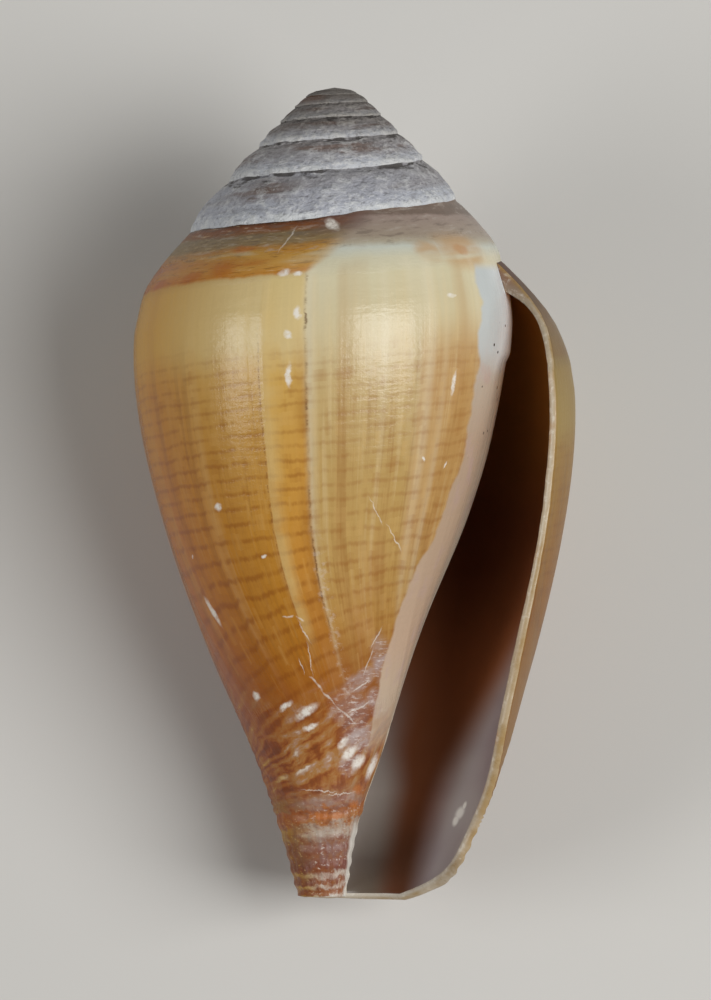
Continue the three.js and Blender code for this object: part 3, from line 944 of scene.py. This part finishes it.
# the lip's two lines are paired off by depth: each step goes on along the one that is behind
down = -places[np.concatenate([lip_out[1:], lip_in[1:]]), 1]
steps_out = np.argsort(down, kind="stable") < len(lip_out) - 1
at_out = np.concatenate([[0], np.cumsum(steps_out)])
at_in = np.concatenate([[0], np.cumsum(~steps_out)])
outer_line = np.concatenate([lip_out[at_out], body[1 : CHAMBER_COLUMNS + 1, -1]])
inner_line = np.concatenate([lip_in[at_in], chamber[1:, -1]])
from_out, to_in = places[outer_line], places[inner_line]
wall_across = to_in - from_out
run = np.gradient(from_out + to_in, axis=0)
forwards = np.cross(wall_across, run)
forwards /= np.linalg.norm(forwards, axis=1, keepdims=True) + 1e-9
stand = np.minimum(EDGE_ROUND * np.linalg.norm(wall_across, axis=1) / 2, ROUND_MOST)
part = np.arange(1, EDGE_LINES + 1) / (EDGE_LINES + 1)
crowded = part - EDGE_CROWDING * np.sin(2 * np.pi * part)
rounded = (
    from_out[:, None] + wall_across[:, None] * crowded[:, None]
    + (forwards * stand[:, None])[:, None] * np.sin(np.pi * part)[:, None]
)
rounded[-1] = from_out[-1] + wall_across[-1] * part[:, None]
lines_across = np.vstack([np.full(EDGE_LINES, outer_line[0]), add(rounded[1:])])
edge = np.column_stack([outer_line, lines_across, inner_line])
lip_shares = np.concatenate([RAMP_SHARES, HOLLOW_SHARES])[at_out]
lip_shares = np.concatenate([lip_shares, np.full(CHAMBER_COLUMNS, 2.0)])
lip_depths = -np.concatenate(points)[edge][..., 1]
inside_out = np.arange(EDGE_LINES + 2) / (EDGE_LINES + 1)  # across the wall, in place of growth
sheet(edge, inside_out[None], lip_shares[:, None], lip_depths, EDGE)

# the column's end is closed by two rings and a fan, a little domed
end_loop = np.concatenate([body[CHAMBER_COLUMNS:, -1], inner[1:, -1], edge[-1, -2:0:-1]])
end_rim = np.concatenate(points)[end_loop]
end_middle = end_rim.mean(0)
rings = [end_loop]
for inset in END_INSETS:
    rings.append(add(lerp(end_rim, end_middle, inset) - [0, END_DOME * inset, 0]))
    upper, lower = rings[-2:]
    cap(np.stack([upper, lower, np.roll(lower, -1), np.roll(upper, -1)], 1), END_SPOT, EDGE)
end_tip = add((end_middle - [0, END_TIP, 0])[None])[0]
cap(fan(rings[-1], end_tip), END_SPOT, EDGE)

lime, tree, shader = finish_of("white edge", 1.5)
wall = use(tree, chart_group)
inwards, depth = wall["Turn"], wall["Depth"]
grains = use(tree, chalk_group, 0.35)
stains = own_place(tree).mottle((700, 700, 700), 3)
skin = depth.grade({
    7: "846452", 9: "8c6c56", 10.2: "b4a48c", 13: "c4b49a", 20: "c8b89e",
    30: "c4b398", 38: "cac0b0",
})
skin.coat("b98850", stains.rise(0.55, 0.7) * 0.5)
skin.coat("f2ecdf", grains["Mask"] * 0.45)
tan_side = inwards.rise(depth.rise(18, 27, 0.4, 0.8), depth.rise(18, 27, 0.1, 0.45))
skin.coat("a48450", tan_side * stains.rise(0.35, 0.6, 0.4, 0.85))
dress(shader, skin, grains["Relief"].rise(0.35, 0.65, 0.25, 0.5), grains["Relief"], 0.5, 3e-5)

# The shell as it lies: all the sheets are joined along their shared points into one closed
# skin, tilted back, lowered until the worn flat on its back is cut, and centred.

REST_TILT = np.radians(9)
REST_FLAT = 0.2

mm = np.concatenate(points)
c, s = np.cos(REST_TILT), np.sin(REST_TILT)
turned = np.stack([mm[:, 0], c * mm[:, 1] - s * mm[:, 2], s * mm[:, 1] + c * mm[:, 2]], 1)
lowest, highest = turned.min(0), turned.max(0)
shift = -(lowest + highest) / 2
shift[2] = -lowest[2] - REST_FLAT
laid = turned + shift
laid[:, 2] = np.maximum(laid[:, 2], 0)


def facets(corners, charted):
    """The faces with a repeated corner as triangles, and the others as they are."""
    if corners.shape[1] == 3:
        return [(corners, charted)]
    same = corners == np.roll(corners, -1, axis=1)
    whole = ~same.any(1)
    found = [(corners[whole], charted[whole])]
    for i in range(4):
        keep = [k for k in range(4) if k != i]
        some = same[:, i] & (same.sum(1) == 1)
        found.append((corners[some][:, keep], charted[some][:, keep]))
    return found


loops, charts, counts, slots = [], [], [], []
for corners, charted, finish in sheets:
    for faces, carried in facets(corners, charted):
        loops.append(faces.ravel())
        charts.append(carried.reshape(-1, 3))
        counts.append(np.full(len(faces), faces.shape[1]))
        slots.append(np.full(len(faces), finish))
loops, charts = np.concatenate(loops), np.concatenate(charts)
counts, slots = np.concatenate(counts), np.concatenate(slots)

mesh = bpy.data.meshes.new("shell_wall")
mesh.vertices.add(len(laid))
mesh.vertices.foreach_set("co", (laid / 1000).astype(np.float32).ravel())
mesh.loops.add(len(loops))
mesh.loops.foreach_set("vertex_index", loops.astype(np.int32))
mesh.polygons.add(len(counts))
starts = np.concatenate([[0], np.cumsum(counts)[:-1]])
mesh.polygons.foreach_set("loop_start", starts.astype(np.int32))
for material in (glaze, chalk, lining, lime):
    mesh.materials.append(material)
mesh.polygons.foreach_set("material_index", slots.astype(np.int32))
mesh.polygons.foreach_set("use_smooth", np.ones(len(counts), bool))
charting = mesh.attributes.new("wall_chart", "FLOAT_VECTOR", "CORNER")
charting.data.foreach_set("vector", charts.astype(np.float32).ravel())
mesh.update(calc_edges=True)
mesh.validate()

shell = bpy.data.objects.new("shell_wall", mesh)
bpy.context.collection.objects.link(shell)
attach(shell, "root")
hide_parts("shell")

# The camera looks square on to the shell's axis, from a long way off for its size. Its frame
# is 711 by 1000 pixels, with 815 of them for the shell's length.

FRAME_PIXELS = 1000  # from top to bottom
SHELL_PIXELS = 815
FRAME_HEIGHT = SHELL_LENGTH / 1000 * FRAME_PIXELS / SHELL_PIXELS
FRAME_MIDDLE = (0.98, -19.23)  # across the shell's axis and along it, from the apex
CAMERA_AWAY = 0.35

up = np.array([0, c, s])
towards = np.array([0, -s, c])
across = np.array([1.0, 0, 0])
middle = (shift + across * FRAME_MIDDLE[0] + up * FRAME_MIDDLE[1]) / 1000


def looking(name, data, place, target):
    """Puts an object at a place, with its -Z to the target and its +Y near the shell's up."""
    out = (place - target) / np.linalg.norm(place - target)
    side = np.cross(up, out)
    side /= np.linalg.norm(side)
    made = bpy.data.objects.new(name, data)
    pose = np.eye(4)
    pose[:3, :3] = np.stack([side, np.cross(out, side), out], 1)
    pose[:3, 3] = place
    made.matrix_world = pose.T.tolist()
    bpy.context.collection.objects.link(made)
    return made


lens = bpy.data.cameras.new("camera")
lens.sensor_fit = "VERTICAL"
lens.sensor_height = 24.0
lens.lens = lens.sensor_height * CAMERA_AWAY / FRAME_HEIGHT
lens.clip_start = 0.01
bpy.context.scene.camera = looking("camera", lens, middle + towards * CAMERA_AWAY, middle)

# The studio: a plain pale floor, a soft light close by on the right, a larger and weaker one
# further off on the left, and a little light from all round.

FLOOR_REACH = 1.5
ROUND_LIGHT = 0.12

floor_mesh = bpy.data.meshes.new("floor")
floor_mesh.from_pydata(
    [(x * FLOOR_REACH, y * FLOOR_REACH, 0) for x, y in ((-1, -1), (1, -1), (1, 1), (-1, 1))],
    [], [(0, 1, 2, 3)],
)
floor = bpy.data.objects.new("floor", floor_mesh)
bpy.context.collection.objects.link(floor)
paper, _, shader = finish_of("pale floor", 1.45)
dress(shader, "d0cec9", 0.9)
floor_mesh.materials.append(paper)


def softbox(name, way, away, width, height, radiance):
    """A rectangle of even light, facing the shell from a way given as right, above, front."""
    lamp = bpy.data.lights.new(name, "AREA")
    lamp.shape, lamp.size, lamp.size_y = "RECTANGLE", width, height
    lamp.energy = radiance * np.pi * width * height
    way = across * way[0] + up * way[1] + towards * way[2]
    looking(name, lamp, middle + away * way / np.linalg.norm(way), middle)


softbox("softbox_right", (0.6, -0.01, 0.77), away=0.4, width=0.3, height=0.21, radiance=7.1)
softbox("softbox_left", (-0.81, -0.05, 0.585), away=1.2, width=0.45, height=0.63, radiance=5.2)

world = bpy.data.worlds.new("studio")
world.use_nodes = True
background = world.node_tree.nodes["Background"]
background.inputs["Color"].default_value = (1.0, 1.0, 1.0, 1.0)
background.inputs["Strength"].default_value = ROUND_LIGHT
bpy.context.scene.world = world
bpy.context.scene.view_settings.view_transform = "Standard"
